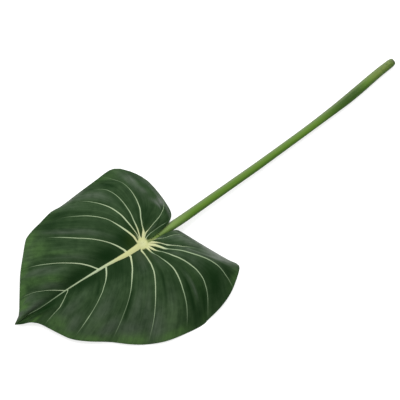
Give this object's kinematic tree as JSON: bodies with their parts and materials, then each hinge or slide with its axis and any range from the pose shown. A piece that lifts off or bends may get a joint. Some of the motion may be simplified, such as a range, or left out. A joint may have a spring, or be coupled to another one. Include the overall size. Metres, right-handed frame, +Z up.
{
  "type": "philodendron leaf",
  "caption": "Large heart-shaped leaf with pleated side veins and back-curved lobes, lying face up on a long round stem that plugs onto a stub under its hub",
  "frame": {"origin": "on the surface that the leaf lies on, in the middle of its outline seen from above", "axes": "+X along the stem, away from the leaf's point; +Y to the lobe on the stem's left; +Z up, out of the leaf's face"},
  "size_m": [0.7555, 0.2965, 0.0407],
  "materials": {
    "leaf": "soft satin, deep green with pale veins",
    "stem": "soft satin, yellow-green with fine ridges"
  },
  "bodies": {
    "root": {"blade": "leaf", "stem": "stem"}
  },
  "joints": []
}
